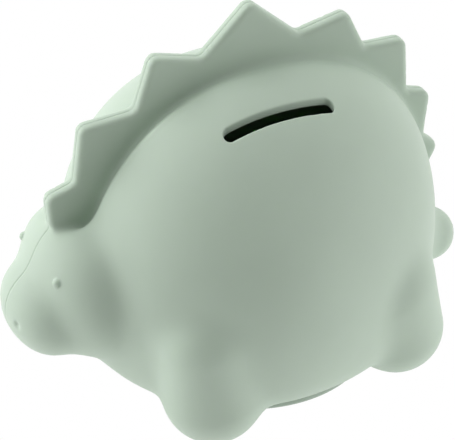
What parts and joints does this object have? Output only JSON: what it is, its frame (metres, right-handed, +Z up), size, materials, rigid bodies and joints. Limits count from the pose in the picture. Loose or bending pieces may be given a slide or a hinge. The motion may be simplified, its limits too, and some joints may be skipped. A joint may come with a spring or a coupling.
{
  "type": "dinosaur money bank",
  "caption": "Plump plate-backed dinosaur money bank in soft silicone, with a coin slot high on its left flank and a pull-out round stopper under its belly.",
  "frame": {"origin": "on the ground, under the middle of the bank's bounding box", "axes": "+Z up, +X towards the tail, head towards -X, coin slot on the -Y flank, crest in the plane y = 0"},
  "size_m": [0.1483, 0.1068, 0.1184],
  "materials": {
    "body_silicone": "matte silicone, sage green",
    "stopper_silicone": "matte silicone, sage green"
  },
  "bodies": {
    "shell": {"body_shell": "body_silicone"},
    "stopper": {"base_stopper": "stopper_silicone"}
  },
  "joints": [
    {"name": "stopper_pull", "type": "slide", "parent": "shell", "child": "stopper", "axis": [0, 0, -1], "range_m": [0, 0.04]}
  ]
}
